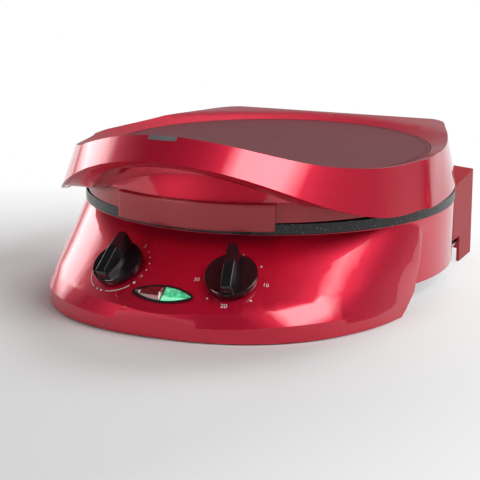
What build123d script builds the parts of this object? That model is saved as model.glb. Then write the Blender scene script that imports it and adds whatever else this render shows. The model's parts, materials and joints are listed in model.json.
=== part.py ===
"""Electric pie maker: a round base with a sloped control panel, a fixed pan and a hinged lid.

Millimetres, +Z up, front towards -Y.  The origin lies on the table, under the middle of the
bounding box; the drum's own axis stands drum_y behind it.
"""
from build123d import *
from collections import namedtuple
from math import atan2, cos, degrees, hypot, radians, sin
import os

# ---------------------------------------------------------------- driving dimensions
# A plan outline is a superellipse in front of its widest line and straight behind it.
Plan = namedtuple("Plan", "half_width reach centre power")

# Base: plan reach from the drum's axis, and heights above the table
belly_reach = 232.0             # foremost line of the base
belly_height = 14.7
rear_reach = 180.0
drum_top_radius = 162.4
drum_foot_radius = 161.6
drum_foot_height = 16.0
drum_top_height = 70.0
housing_foot_gap = 1.0          # the feet hold the housing off the table
housing_wall = 2.5
slip_gap = 0.1                  # play of pieces that are laid or slid into another
hole_gap = 0.3                  # play of screws and studs in the sheets they pass through

plinth_foot = Plan(162.2, 229.0, 34.0, 2.37)
plinth_belly = Plan(160.5, belly_reach, 34.0, 2.37)
band_belly = Plan(159.6, belly_reach, 42.4, 2.46)
band_top = Plan(156.6, 221.8, 51.5, 1.45)
band_top_height = 72.0
panel_foot = Plan(160.6, 260.2, 30.9, 2.61)
panel_rim_gap = 0.4             # the panel meets the drum this far inside its top
apron_end_foot = 103.0          # the apron's sides end on a slanted line with a bend in it
apron_end_bend = (75.0, 15.5)
apron_end_top = 40.0

# Squared box behind the drum
box_half_width = 150.0
box_start = 67.0
box_straight = 131.0
box_corner = (126.0, 141.0)
box_tail_half_width = 112.0
box_top_height = 79.5
box_roof_rise = 5.0
box_edge_radius = 4.0
side_notch_width = 22.0
side_notch_height = 25.0

# Base plate and feet
plate_height = 17.0
plate_thickness = 2.5
plate_gap = 0.3
vent_circle = 60.0
vent_count = 12
vent_length = 26.0
vent_width = 5.0
foot_radius = 10.0
foot_pad = 3.0
foot_stem_radius = 8.5
front_foot = (70.0, -185.0)
rear_foot = (92.0, 150.0)
front_post = (100.0, -140.0)
rear_post = (130.0, 110.0)
post_radius = 6.0
screw_radius = 2.0
screw_head_radius = 3.8
screw_head_height = 2.4
screw_gap = 0.05
screw_bite = 10.0

# Pan
pan_overhang = 0.6
pan_rim_height = 9.6
pan_well_gap = 2.0
pan_seat_thickness = 2.5
pan_rim_thickness = 2.8
pan_wall = 2.5
pan_mouth_radius = 155.0
pan_floor_radius = 147.5
pan_floor_height = 56.0
pan_floor_thickness = 3.0
stud_radius = 2.5
stud_circle = 62.0
stud_proud = 1.5
pan_rim_rounding = 1.0

# Heat shield and element under the pan
shield_floor_height = 38.0
shield_thickness = 1.0
shield_radius = 155.0
shelf_inner_radius = 156.5
shelf_thickness = 3.0
shelf_top_height = 65.0
shield_flange_radius = 158.8
lower_element_circle = 105.0
lower_element_radius = 3.5
element_gap = 0.2
element_open_angle = 26.0
cold_end_height = 28.0
seal_radius = 6.0
seal_neck_radius = 4.8
seal_neck_length = 6.0
seal_flange = 5.0
nut_flats = 8.0
nut_height = 4.0

# Knobs and what they turn
knob_x = 48.5
knob_height = 43.3
knob_azimuth = 12.0
knob_radius = 20.7
knob_skirt = 6.0
knob_stand_off = 1.2
grip_height = 13.0
grip_width = 9.5
grip_crown_width = 6.5
grip_lower_drop = 4.0
shaft_radius = 3.0
shaft_fit = 0.05
shaft_length = 23.5
neck_radius = 5.0
neck_proud = 3.0
neck_gap = 0.15
control_case = 28.0
control_case_drop = 4.5         # top of a control's case below the panel's surface
thermostat_depth = 12.0
timer_depth = 13.0
shaft_floor = 1.0
panel_nut_flats = 13.0
panel_nut_height = 2.0
panel_nut_lift = 0.3
knob_hollow_radius = 9.0
knob_hollow_depth = 3.6
knob_edge_radius = 1.5
grip_inset = 1.0
control_case_rounding = 3.0

# Indicator window in the panel
indicator_height = 31.8
indicator_half_length = 27.0
indicator_half_height = 8.0
indicator_tip_radius = 2.0
frame_flange = 0.8
frame_wall = 1.2
frame_bar = 1.0
frame_lift = 0.1
indicator_seat_gap = 1.2
lens_proud = 1.4
lens_edge = 0.4
lamp_radius = 2.4
lamp_length = 10.0
lamp_pitch = 26.0
holder_depth = 5.6
holder_inset = 6.0
holder_floor = 1.0
holder_corner = 2.0

# Electrical pieces on the base plate
terminal_size = (42.0, 18.0, 13.0)
terminal_y = 118.0
terminal_rounding = 1.5
terminal_well_radius = 2.2
fuse_drop = 3.2
fuse_radius = 2.0
fuse_length = 14.0
bushing_height = 30.0
bushing_radius = 8.0
bushing_flange_radius = 11.0
bushing_flange = 2.0
bushing_snap = 1.5
cord_bore_radius = 3.6

# Lid: plan outlines at two heights, straight between them
lid_low_height = 80.0
lid_high_height = 160.0
lid_low = Plan(164.0, 282.1, 16.1, 1.68)
lid_high = Plan(148.0, 207.8, 0.0, 1.78)
lid_low_flank = (150.5, 68.0)
lid_low_shoulder = (134.0, 118.0)
lid_low_tail = (104.0, 176.0)
lid_high_flank = (137.0, 55.0)
lid_high_shoulder = (121.0, 103.0)
lid_high_tail = (92.0, 150.0)
corner_heading = (-0.4, 1)      # where the outline runs at its shoulder and at its tail
back_heading = (-1, 0.35)
lid_wall = 2.8
lid_gap = 0.3
# side profiles, as distance from the drum's axis (front negative) and height
skirt_profile = ((-260.0, 148.0), (-235.0, 140.6), (-212.0, 127.5), (-185.0, 110.3),
                 (-150.0, 93.4), (-110.0, 83.2), (-60.0, 80.6), (0.0, 80.5),
                 (60.0, 80.6), (110.0, 81.0), (150.0, 84.0), (190.0, 84.5))
crest_profile = ((-235.0, 164.7), (-215.0, 156.1), (-185.0, 140.5), (-150.0, 128.8),
                 (-110.0, 121.6), (-60.0, 118.6), (0.0, 118.8), (60.0, 119.5),
                 (130.0, 118.5), (190.0, 118.0))

# Recess in the lid's top, and the flat panel in its floor
recess_radius = 141.0
recess_floor = 111.0
recess_mid = Plan(165.0, 157.5, 0.0, 2.4)
recess_mid_height = 122.0
recess_top = Plan(257.0, 212.4, 0.0, 5.0)
recess_top_height = 156.0
lid_ledge = 7.0
top_panel_thickness = 2.0
top_panel_gap = 0.3
insert_width = 23.5
insert_height = 3.2
insert_depth = 14.0
insert_gap = 0.1

# Collar, guard and finger recess under the visor
collar_lift = 1.0               # over the pan's rim
collar_top_height = 96.5
collar_front_lap = 7.0          # the collar reaches this far in front of the drum's top
collar_side_gap = 2.9           # the lid's flanks draw in behind their widest line
collar_wall = 2.5
collar_shelf_height = 87.5
collar_shelf_thickness = 2.5
collar_shelf_radius = 143.0
guard_half_width = 68.6
guard_gap = 2.0
guard_thickness = 2.5
guard_foot_height = 74.7
guard_flange = 2.0
scoop_thickness = 2.2
scoop_setback = 1.5             # the recess's wall starts this far behind the collar's front
vault_height = 118.0
vault_lap = 1.5
vault_rise = 15.8
vault_radius = 267.0
wall_lean = 12.0                # how far the recess's wall leans back over its height
scoop_start = 118.0
recess_core_height = 93.0

# Heat shield and element in the lid
lid_shield_flat_radius = 129.0
lid_shield_slope_radius = 141.5
lid_shield_radius = 153.0
lid_shield_flat_height = 107.0
lid_shield_thickness = 0.8
upper_element_circle = 100.0
upper_element_radius = 3.25
upper_element_height = 96.0
clip_width = 8.0
clip_thickness = 1.0
clip_tab = 5.0
clip_gap = 0.2
lid_post_circle = 147.5
lid_post_angle = 40.0
lid_post_radius = 4.5

# Hinge
hinge_y = 170.0
hinge_height = 91.0
hinge_x = 86.0
hinge_block_width = 20.0
hinge_block_radius = 7.5
hinge_pin_radius = 2.5
hinge_fit = 0.05
hinge_eye_relief = 0.5
hinge_side_gap = 0.4
cheek_thickness = 3.2
web_height = 101.0
web_thickness = 3.0
arm_post_y = 150.0
arm_post_radius = 6.0
arm_screw_bite = 8.0
arm_web_rear = 165.0
arm_web_width = 13.0
pin_head_radius = 4.0
pin_head_thickness = 1.2
hinge_cut_gap = 0.6
hinge_cut_rise = 1.0

# ---------------------------------------------------------------- derived places
drum_y = (belly_reach - rear_reach) / 2
pan_rim_radius = drum_top_radius + pan_overhang
collar_reach = drum_top_radius + collar_front_lap
scoop_reach = collar_reach - scoop_setback
vault_reach = collar_reach + vault_lap
pan_top_height = drum_top_height + pan_rim_height
pan_well_radius = pan_rim_radius + pan_well_gap
drum_bore_radius = drum_top_radius - housing_wall
panel_top_radius = drum_top_radius - panel_rim_gap
box_reach = rear_reach - bushing_flange
shield_flange_height = shelf_top_height - shelf_thickness - shield_thickness
plate_top_height = plate_height + plate_thickness
collar_foot_height = pan_top_height + collar_lift
panel_slope = (panel_foot.reach - panel_top_radius) / drum_top_height
panel_elevation = degrees(atan2(panel_slope, 1))
big = 700.0                     # longer than anything in the model


def side_plane(x):
    """Plane at x whose own axes are the distance from the drum's axis and the height."""
    return Plane(origin=(x, drum_y, 0), x_dir=(0, 1, 0), z_dir=(1, 0, 0))


def level(height):
    """Plan-view plane centred on the drum's axis."""
    return Plane((0, drum_y, height))


def nose_points(plan, inset=0.0, slant=1.0):
    """Quarter superellipse, from the foremost point round to the widest one."""
    half_width = plan.half_width - inset
    nose = plan.reach - plan.centre - inset * slant
    exponent = 2 / plan.power
    quarter = [radians(90 - 11.25 * step) for step in range(9)]
    return [(half_width * round(cos(a), 9) ** exponent,
             -plan.centre - nose * round(sin(a), 9) ** exponent) for a in quarter]


def nose_plan(height, plan, inset=0.0, slant=1.0, rear=0.0):
    """Closed sketch of a nose outline, cut straight across at rear."""
    points = nose_points(plan, inset, slant)
    half_width = plan.half_width - inset
    with BuildSketch(level(height)) as sketch:
        with BuildLine():
            Spline(*points, tangents=((1, 0), (0, 1)))
            Line((half_width, -plan.centre), (half_width, rear))
            Line((half_width, rear), (0, rear))
            mirror(about=Plane.YZ)
        make_face()
    return sketch.sketch


def oval_plan(height, half_width, reach):
    """Round behind the axis, and drawn forward to reach in front of it."""
    with BuildSketch(level(height)) as sketch:
        with BuildLine():
            EllipticalCenterArc((0, 0), half_width, reach, 180, arc_size=180)
            CenterArc((0, 0), half_width, 0, 180)
        make_face()
    return sketch.sketch


def lerp_plan(low, high, share):
    """Plan between two others."""
    return Plan(*(a + (b - a) * share for a, b in zip(low, high)))


def screws(places, seat, bite):
    """Screws whose heads bear on height seat from below and whose shanks go up from it."""
    with BuildPart() as group:
        with BuildSketch(level(seat)):
            with Locations(*places):
                Circle(screw_radius)
        extrude(amount=bite)
        with BuildSketch(level(seat)):
            with Locations(*places):
                Circle(screw_head_radius)
        extrude(amount=-screw_head_height)
    return group.part


def save(piece, name):
    """Label one finished piece and write it to its own file."""
    piece.label = name
    export_step(piece, f"parts/{name}.step")


os.makedirs("parts", exist_ok=True)

# ---------------------------------------------------------------- base housing
panel_rim = Plan(panel_top_radius, panel_top_radius, 0.01, 2.0)  # a circle, but for 0.01
band_rise = band_top_height - belly_height
apron_roots = (0.0, 5.0, 10.0)  # how far each of the apron's three cuts starts below the table


def apron_end(inset):
    """Foot, bend and top of the line on which the apron's sides end, moved inwards by inset."""
    bend_back, bend_height = apron_end_bend
    low_run = (apron_end_foot - bend_back) / bend_height
    high_run = (bend_back - apron_end_top) / (drum_top_height - bend_height)
    low_shift, high_shift = inset * hypot(1, low_run), inset * hypot(1, high_run)
    lift = (low_shift - high_shift) / (low_run - high_run)
    return (Vector(-apron_end_foot - low_shift, 0),
            Vector(-bend_back - high_shift + high_run * lift, bend_height + lift),
            Vector(-apron_end_top - high_shift, drum_top_height))


def apron_form(inset):
    """Front apron: plinth wall, leaning band and sloped panel, each cutting the others."""
    plinth_top = lerp_plan(plinth_foot, plinth_belly, band_top_height / belly_height)
    band_root = lerp_plan(band_belly, band_top, -(belly_height + apron_roots[1]) / band_rise)
    panel_root = lerp_plan(panel_foot, panel_rim, -apron_roots[2] / drum_top_height)
    panel_inset = inset * hypot(1, panel_slope)
    with BuildPart() as apron:
        loft(sections=[nose_plan(0, plinth_foot, inset),
                       nose_plan(band_top_height, plinth_top, inset)], ruled=True)
        loft(sections=[nose_plan(-apron_roots[1], band_root, inset, rear=apron_roots[1]),
                       nose_plan(band_top_height, band_top, inset, rear=apron_roots[1])],
             ruled=True, mode=Mode.INTERSECT)
        loft(sections=[nose_plan(-apron_roots[2], panel_root, panel_inset, rear=apron_roots[2]),
                       nose_plan(drum_top_height, panel_rim, panel_inset, rear=apron_roots[2])],
             ruled=True, mode=Mode.INTERSECT)
        with BuildSketch(side_plane(-big / 2)):
            with BuildLine():
                foot, bend, top = apron_end(inset)
                Polyline((-big, -big), (foot.X, -big), foot, bend, top, (-big, drum_top_height), close=True)
            make_face()
        extrude(amount=big, mode=Mode.INTERSECT)
    return apron.part


def drum_form(inset, low):
    """Slightly flared drum, from low to its top."""
    with BuildPart() as drum:
        with BuildSketch(level(low)):
            Circle(drum_foot_radius - inset)
        with BuildSketch(level(drum_top_height)):
            Circle(drum_top_radius - inset)
        loft(ruled=True)
    return drum.part


def box_form(inset, low):
    """Squared box behind the drum, its roof rising towards the back."""
    straight = box_half_width - inset
    tail = (box_tail_half_width - inset, box_reach - inset)
    corner = (box_corner[0] - inset, box_corner[1] - inset / 2)
    roof = box_top_height - inset
    with BuildPart() as box:
        with BuildSketch(level(low)) as plan:
            with BuildLine():
                Polyline((0, box_start + inset), (straight, box_start + inset), (straight, box_straight),
                         corner, tail, (0, box_reach - inset))
                mirror(about=Plane.YZ)
            make_face()
            fillet(plan.vertices().group_by(Axis.Y)[1:], radius=box_edge_radius)
        extrude(amount=roof - low)
        with BuildSketch(side_plane(-big / 2)):
            with BuildLine():
                Polyline((0, -big), (big, -big), (big, roof), (box_straight, roof),
                         (box_start, roof - box_roof_rise), (0, roof - box_roof_rise), close=True)
            make_face()
        extrude(amount=big, mode=Mode.INTERSECT)
    return box.part


def slab(low, high):
    """Everything between two heights."""
    with BuildPart() as block:
        with BuildSketch(Plane.XY.offset(low)):
            Rectangle(big, big)
        extrude(amount=high - low)
    return block.part


def base_form(inset, low, drum_low):
    """Whole base above low, as one solid, with its surfaces moved inwards by inset."""
    with BuildPart() as form:
        add(apron_form(inset))
        add(drum_form(inset, drum_low))
        add(box_form(inset, low))
        add(slab(low, big), mode=Mode.INTERSECT)
    return form.part


def panel_point(x, height):
    """Point of the sloped panel at x and height."""
    plan = lerp_plan(panel_foot, panel_rim, height / drum_top_height)
    nose = (plan.reach - plan.centre) * (1 - abs(x / plan.half_width) ** plan.power) ** (1 / plan.power)
    return Vector(x, drum_y - plan.centre - nose, height)


def panel_plane(x, height, azimuth=0.0):
    """Plane on the panel at a point, square to it, turned sideways by azimuth; its y goes upslope."""
    turn = radians(azimuth)
    lift = radians(panel_elevation)
    outward = (cos(lift) * sin(turn), -cos(lift) * cos(turn), sin(lift))
    return Plane(origin=panel_point(x, height), x_dir=(cos(turn), sin(turn), 0), z_dir=outward)


knob_planes = {side: panel_plane(side * knob_x, knob_height, side * knob_azimuth) for side in (-1, 1)}
indicator_plane = panel_plane(0, indicator_height)


def almond(shrink=0.0):
    """Pointed window outline, made of two arcs with rounded tips."""
    with BuildSketch() as outline:
        with BuildLine():
            for bulge in (indicator_half_height, -indicator_half_height):
                ThreePointArc((-indicator_half_length, 0), (0, bulge), (indicator_half_length, 0))
        make_face()
        fillet(outline.vertices(), radius=indicator_tip_radius)
        if shrink:
            offset(amount=-shrink)
    return outline.sketch


base_outer = base_form(0, housing_foot_gap, drum_foot_height)
front_posts = [(side * front_post[0], front_post[1]) for side in (-1, 1)]
rear_posts = [(side * rear_post[0], rear_post[1]) for side in (-1, 1)]
plate_posts = front_posts + rear_posts

with BuildPart() as housing_extras:
    # seat of the pan, with the step behind it up to the box's roof
    with BuildSketch(level(drum_top_height - pan_seat_thickness)):
        Circle(pan_well_radius + housing_wall)
        Circle(drum_bore_radius, mode=Mode.SUBTRACT)
    extrude(amount=pan_seat_thickness)
    with BuildSketch(level(drum_top_height - pan_seat_thickness)):
        Circle(pan_well_radius + housing_wall)
        Circle(pan_well_radius, mode=Mode.SUBTRACT)
    extrude(amount=box_top_height)
    # shelf over the heat shield's flange
    with BuildSketch(level(shelf_top_height - shelf_thickness)):
        Circle(drum_top_radius + 2 * housing_wall)
        Circle(shelf_inner_radius, mode=Mode.SUBTRACT)
    extrude(amount=shelf_thickness)
    # posts for the base plate's screws
    with BuildSketch(level(plate_top_height)):
        with Locations(*plate_posts):
            Circle(post_radius)
    extrude(amount=box_top_height)
    add(base_form(housing_wall / 2, 0, 0), mode=Mode.INTERSECT)

with BuildPart() as base_housing:
    add(base_outer)
    add(base_form(housing_wall, 0, 0), mode=Mode.SUBTRACT)
    add(housing_extras.part)
    # the well round the pan's rim
    with BuildSketch(level(drum_top_height)):
        Circle(pan_well_radius)
    extrude(amount=box_top_height, mode=Mode.SUBTRACT)
    # notches at the foot of the box's sides
    with BuildSketch(side_plane(-big / 2)):
        with Locations((box_start + side_notch_width / 2, 0)):
            Rectangle(side_notch_width, 2 * side_notch_height)
    extrude(amount=big, mode=Mode.SUBTRACT)
    with BuildSketch(level(plate_top_height)):
        with Locations(*plate_posts):
            Circle(screw_radius + screw_gap)
    extrude(amount=screw_bite, mode=Mode.SUBTRACT)
    for plane in knob_planes.values():
        with BuildSketch(plane.offset(-control_case_drop)):
            Circle(neck_radius + neck_gap)
        extrude(amount=2 * control_case_drop, mode=Mode.SUBTRACT)
    with BuildSketch(indicator_plane.offset(-control_case_drop)):
        add(almond())
    extrude(amount=2 * control_case_drop, mode=Mode.SUBTRACT)
    with BuildSketch(Plane(origin=(0, drum_y + box_reach, bushing_height), x_dir=(1, 0, 0),
                           z_dir=(0, -1, 0))):
        Circle(bushing_radius)
    extrude(amount=2 * housing_wall, mode=Mode.SUBTRACT)

# ---------------------------------------------------------------- base plate, feet and screws
feet = [(side * foot[0], foot[1]) for foot in (front_foot, rear_foot) for side in (-1, 1)]

with BuildPart() as base_plate:
    add(base_form(housing_wall + plate_gap, plate_height, plate_height))
    add(slab(plate_height, plate_top_height), mode=Mode.INTERSECT)
    with BuildSketch(level(foot_pad)):
        with Locations(*feet):
            Circle(foot_stem_radius)
    extrude(amount=plate_height - foot_pad)
    with BuildSketch(level(plate_height)):
        with Locations(*plate_posts):
            Circle(screw_radius + hole_gap)
        with Locations((0, 0)):
            with PolarLocations(vent_circle, vent_count):
                SlotOverall(vent_length, vent_width)
    extrude(amount=plate_thickness, mode=Mode.SUBTRACT)

with BuildPart() as rubber_feet:
    with BuildSketch(level(0)):
        with Locations(*feet):
            Circle(foot_radius)
    extrude(amount=foot_pad)

base_screws = screws(plate_posts, plate_height, screw_bite)

# ---------------------------------------------------------------- pan, its studs and nuts
stud_angles = (90, 210, 330)
studs = [(stud_circle * cos(radians(a)), stud_circle * sin(radians(a))) for a in stud_angles]
stud_foot_height = shield_floor_height - nut_height - stud_proud
pan_web_height = pan_top_height - pan_rim_thickness

with BuildPart() as pan:
    with BuildSketch(side_plane(0)) as pan_section:
        with BuildLine():
            Polyline((0, pan_floor_height), (pan_floor_radius + pan_wall, pan_floor_height),
                     (pan_mouth_radius + pan_wall, pan_web_height),
                     (pan_rim_radius - pan_wall, pan_web_height),
                     (pan_rim_radius - pan_wall, drum_top_height),
                     (pan_rim_radius, drum_top_height), (pan_rim_radius, pan_top_height),
                     (pan_mouth_radius, pan_top_height),
                     (pan_floor_radius, pan_floor_height + pan_floor_thickness),
                     (0, pan_floor_height + pan_floor_thickness), close=True)
        make_face()
        fillet(pan_section.vertices().group_by(Axis.Z)[-1], radius=pan_rim_rounding)
    revolve(axis=Axis((0, drum_y, 0), (0, 0, 1)))
    with BuildSketch(level(stud_foot_height)):
        with Locations(*studs):
            Circle(stud_radius)
    extrude(amount=pan_floor_height - stud_foot_height)

with BuildPart() as pan_nuts:
    with BuildSketch(level(shield_floor_height - nut_height)):
        with Locations(*studs):
            RegularPolygon(nut_flats / 2, 6, major_radius=False)
            Circle(stud_radius + screw_gap, mode=Mode.SUBTRACT)
    extrude(amount=nut_height)

# ---------------------------------------------------------------- lower heat shield and element
element_height = pan_floor_height - element_gap - lower_element_radius
element_ends = [90 - element_open_angle / 2, 90 + element_open_angle / 2]
cold_ends = [(lower_element_circle * cos(radians(a)), lower_element_circle * sin(radians(a)))
             for a in element_ends]

with BuildPart() as lower_heat_shield:
    with BuildSketch(side_plane(0)):
        with BuildLine():
            Polyline((0, shield_floor_height), (shield_radius, shield_floor_height),
                     (shield_radius, shield_flange_height), (shield_flange_radius, shield_flange_height),
                     (shield_flange_radius, shield_flange_height + shield_thickness),
                     (shield_radius - shield_thickness, shield_flange_height + shield_thickness),
                     (shield_radius - shield_thickness, shield_floor_height + shield_thickness),
                     (0, shield_floor_height + shield_thickness), close=True)
        make_face()
    revolve(axis=Axis((0, drum_y, 0), (0, 0, 1)))
    with BuildSketch(level(shield_floor_height)):
        with Locations(*studs):
            Circle(stud_radius + hole_gap)
        with Locations(*cold_ends):
            Circle(seal_neck_radius)
    extrude(amount=shield_thickness, mode=Mode.SUBTRACT)


def open_ring(circle, radius, height, open_angle, open_at):
    """Tube bent to a ring with a gap of open_angle degrees centred on open_at."""
    middle = Plane((0, drum_y, height))
    start = radians(open_at + open_angle / 2)
    along = Vector(-sin(start), cos(start), 0)
    foot = middle.origin + Vector(circle * cos(start), circle * sin(start), 0)
    with BuildPart() as ring:
        with BuildLine(middle) as path:
            CenterArc((0, 0), circle, open_at + open_angle / 2, 360 - open_angle)
        with BuildSketch(Plane(origin=foot, z_dir=along)):
            Circle(radius)
        sweep(path=path.wires()[0])
    return ring.part


with BuildPart() as lower_element:
    add(open_ring(lower_element_circle, lower_element_radius, element_height, element_open_angle, 90))
    with Locations(*[(x, drum_y + y, element_height) for x, y in cold_ends]):
        Sphere(lower_element_radius)
    with BuildSketch(level(cold_end_height)):
        with Locations(*cold_ends):
            Circle(lower_element_radius)
    extrude(amount=element_height - cold_end_height)

with BuildPart() as lower_element_seals:
    with BuildSketch(level(shield_floor_height + shield_thickness)):
        with Locations(*cold_ends):
            Circle(seal_radius)
            Circle(lower_element_radius + screw_gap, mode=Mode.SUBTRACT)
    extrude(amount=seal_flange)
    with BuildSketch(level(shield_floor_height + shield_thickness)):
        with Locations(*cold_ends):
            Circle(seal_neck_radius)
            Circle(lower_element_radius + screw_gap, mode=Mode.SUBTRACT)
    extrude(amount=-seal_neck_length)


def saddle(plane, tube_radius, drop):
    """Strap round a tube at the plane's origin, its two tabs against a seat drop above it."""
    bore = tube_radius + clip_gap
    outer = bore + clip_thickness
    with BuildPart() as strap:
        with BuildSketch(plane.offset(-clip_width / 2)):
            Circle(outer)
            Rectangle(2 * outer, drop, align=(Align.CENTER, Align.MIN))
            with Locations((0, drop)):
                Rectangle(2 * (outer + clip_tab), clip_thickness, align=(Align.CENTER, Align.MAX))
            Circle(bore, mode=Mode.SUBTRACT)
            Rectangle(2 * bore, big, align=(Align.CENTER, Align.MIN), mode=Mode.SUBTRACT)
        extrude(amount=clip_width)
    return strap.part


def ring_saddles(circle, tube_radius, height, seat_height):
    """Four straps round an element's ring."""
    with BuildPart() as group:
        for angle in (45, 135, 225, 315):
            out = Vector(cos(radians(angle)), sin(radians(angle)), 0)
            centre = Vector(0, drum_y, height) + out * circle
            along = Vector(out.Y, -out.X, 0)
            add(saddle(Plane(origin=centre, x_dir=out, z_dir=along), tube_radius, seat_height - height))
    return group.part


lower_element_clips = ring_saddles(lower_element_circle, lower_element_radius, element_height,
                                   pan_floor_height)

# ---------------------------------------------------------------- electrical pieces
fuse_axis_height = shield_floor_height - fuse_drop

with BuildPart() as thermal_fuse:
    with BuildSketch(Plane(origin=(-fuse_length / 2, drum_y, fuse_axis_height), z_dir=(1, 0, 0))):
        Circle(fuse_radius)
    extrude(amount=fuse_length)

fuse_plane = Plane(origin=(0, drum_y, fuse_axis_height), x_dir=(0, 1, 0), z_dir=(1, 0, 0))
fuse_clip = saddle(fuse_plane, fuse_radius, fuse_drop)

with BuildPart() as terminal_block:
    with BuildSketch(Plane((0, drum_y + terminal_y, plate_top_height))):
        RectangleRounded(terminal_size[0], terminal_size[1], terminal_rounding)
    extrude(amount=terminal_size[2])
    with BuildSketch(Plane((0, drum_y + terminal_y, plate_top_height + terminal_size[2]))):
        with GridLocations(terminal_size[0] / 4, terminal_size[1] / 2, 3, 2):
            Circle(terminal_well_radius)
    extrude(amount=-terminal_size[2] / 2, mode=Mode.SUBTRACT)

with BuildPart() as cord_bushing:
    with BuildSketch(Plane(origin=(0, drum_y + rear_reach, bushing_height), x_dir=(1, 0, 0),
                           z_dir=(0, -1, 0))) as flange:
        Circle(bushing_flange_radius)
    extrude(amount=bushing_flange)
    with BuildSketch(flange.workplanes[0]):
        Circle(bushing_radius - slip_gap)
    extrude(amount=bushing_flange + housing_wall + bushing_flange)
    with BuildSketch(flange.workplanes[0].offset(bushing_flange + housing_wall)):
        Circle(bushing_radius + bushing_snap)
    extrude(amount=bushing_flange)
    with BuildSketch(flange.workplanes[0]):
        Circle(cord_bore_radius)
    extrude(amount=3 * bushing_flange + housing_wall, mode=Mode.SUBTRACT)


def control_body(plane, depth):
    """Flat case under the panel, with the threaded neck that comes up through it."""
    with BuildPart() as control:
        with BuildSketch(plane.offset(-control_case_drop)):
            RectangleRounded(control_case, control_case, control_case_rounding)
        extrude(amount=-depth)
        with BuildSketch(plane.offset(-control_case_drop)):
            Circle(neck_radius)
        extrude(amount=control_case_drop + neck_proud)
        with BuildSketch(plane.offset(-control_case_drop - depth + shaft_floor)):
            Circle(shaft_radius + shaft_fit)
        extrude(amount=big, mode=Mode.SUBTRACT)
    return control.part


def control_shaft(plane, depth):
    """Shaft from the bottom of the case's bore up into the knob."""
    with BuildPart() as shaft:
        with BuildSketch(plane.offset(-control_case_drop - depth + 2 * shaft_floor)):
            Circle(shaft_radius)
        extrude(amount=shaft_length)
    return shaft.part


def control_nut(plane):
    """Hexagon nut that clamps the neck to the panel."""
    with BuildPart() as nut:
        with BuildSketch(plane.offset(panel_nut_lift)):
            RegularPolygon(panel_nut_flats / 2, 6, major_radius=False)
            Circle(neck_radius + screw_gap, mode=Mode.SUBTRACT)
        extrude(amount=panel_nut_height)
    return nut.part


def knob_grip(plane):
    """Tapered bar across the knob, its crown falling away towards the lower end."""
    crown = knob_skirt + grip_height
    foot = knob_skirt / 2
    tip = knob_radius - grip_inset
    lengthwise = Plane(origin=plane.origin, x_dir=plane.y_dir, z_dir=plane.x_dir)
    crosswise = Plane(origin=plane.origin, x_dir=plane.x_dir, z_dir=-plane.y_dir)
    with BuildPart() as grip:
        with BuildSketch(lengthwise.offset(-grip_width / 2)):
            with BuildLine():
                Polyline((-tip, foot), (tip, foot), (tip - grip_inset, crown), (0, crown))
                Spline((0, crown), (-tip + grip_inset, crown - grip_lower_drop), (-tip, foot),
                       tangents=((-1, 0), (-0.1, -1)))
            make_face()
        extrude(amount=grip_width)
        with BuildSketch(crosswise.offset(-big / 2)):
            with BuildLine():
                Polyline((-grip_width / 2, 0), (grip_width / 2, 0), (grip_crown_width / 2, crown),
                         (-grip_crown_width / 2, crown), close=True)
            make_face()
        extrude(amount=big, mode=Mode.INTERSECT)
    return grip.part


def knob(plane, depth):
    """Round skirt with the grip across it, hollow underneath round the nut."""
    skirt_plane = plane.offset(knob_stand_off)
    bore_depth = shaft_length - control_case_drop - depth + 2 * shaft_floor + shaft_fit
    with BuildPart() as turned:
        with BuildSketch(skirt_plane):
            Circle(knob_radius)
        extrude(amount=knob_skirt)
        fillet(turned.faces().filter_by(GeomType.PLANE).sort_by(Axis.Z)[-1].edges(), radius=knob_edge_radius)
        add(knob_grip(skirt_plane))
        with BuildSketch(skirt_plane):
            Circle(knob_hollow_radius)
        extrude(amount=knob_hollow_depth, mode=Mode.SUBTRACT)
        with BuildSketch(plane):
            Circle(shaft_radius + shaft_fit)
        extrude(amount=bore_depth, mode=Mode.SUBTRACT)
    return turned.part


thermostat_plane = knob_planes[-1]
timer_plane = knob_planes[1]

# ---------------------------------------------------------------- indicator window
frame_depth = control_case_drop - indicator_seat_gap
lens_shrink = slip_gap + frame_wall + slip_gap

with BuildPart() as indicator_frame:
    with BuildSketch(indicator_plane.offset(-frame_depth)):
        add(almond(slip_gap))
        add(almond(slip_gap + frame_wall), mode=Mode.SUBTRACT)
    extrude(amount=frame_depth + frame_lift)
    with BuildSketch(indicator_plane.offset(frame_lift)):
        add(almond(-frame_flange))
        add(almond(slip_gap + frame_wall), mode=Mode.SUBTRACT)
    extrude(amount=frame_flange)
    with BuildSketch(indicator_plane.offset(-frame_depth)):
        Rectangle(frame_bar, 2 * (indicator_half_height - frame_wall))
    extrude(amount=frame_depth)


def lens(side):
    """One half of the window's lens, with a rounded top."""
    with BuildPart() as half:
        with BuildSketch(indicator_plane.offset(-frame_depth / 2)):
            add(almond(lens_shrink))
            with Locations((-side * (big / 2 - frame_bar / 2 - slip_gap), 0)):
                Rectangle(big, big, mode=Mode.SUBTRACT)
        extrude(amount=frame_depth / 2 + lens_proud)
        tops = half.faces().filter_by(lambda face: face.normal_at().dot(indicator_plane.z_dir) > 0.9)
        chamfer(tops.edges(), length=lens_edge)
    return half.part


holder_plane = indicator_plane.offset(-frame_depth)
pocket_drop = holder_depth - holder_floor

with BuildPart() as lamp_holder:
    with BuildSketch(holder_plane):
        RectangleRounded(2 * indicator_half_length - holder_inset, 2 * indicator_half_height - frame_wall,
                         holder_corner)
    extrude(amount=-holder_depth)
    with BuildSketch(holder_plane):
        with Locations((-lamp_pitch / 2, 0), (lamp_pitch / 2, 0)):
            Rectangle(lamp_length + 2 * slip_gap, 2 * (lamp_radius + slip_gap))
    extrude(amount=-pocket_drop, mode=Mode.SUBTRACT)

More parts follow.
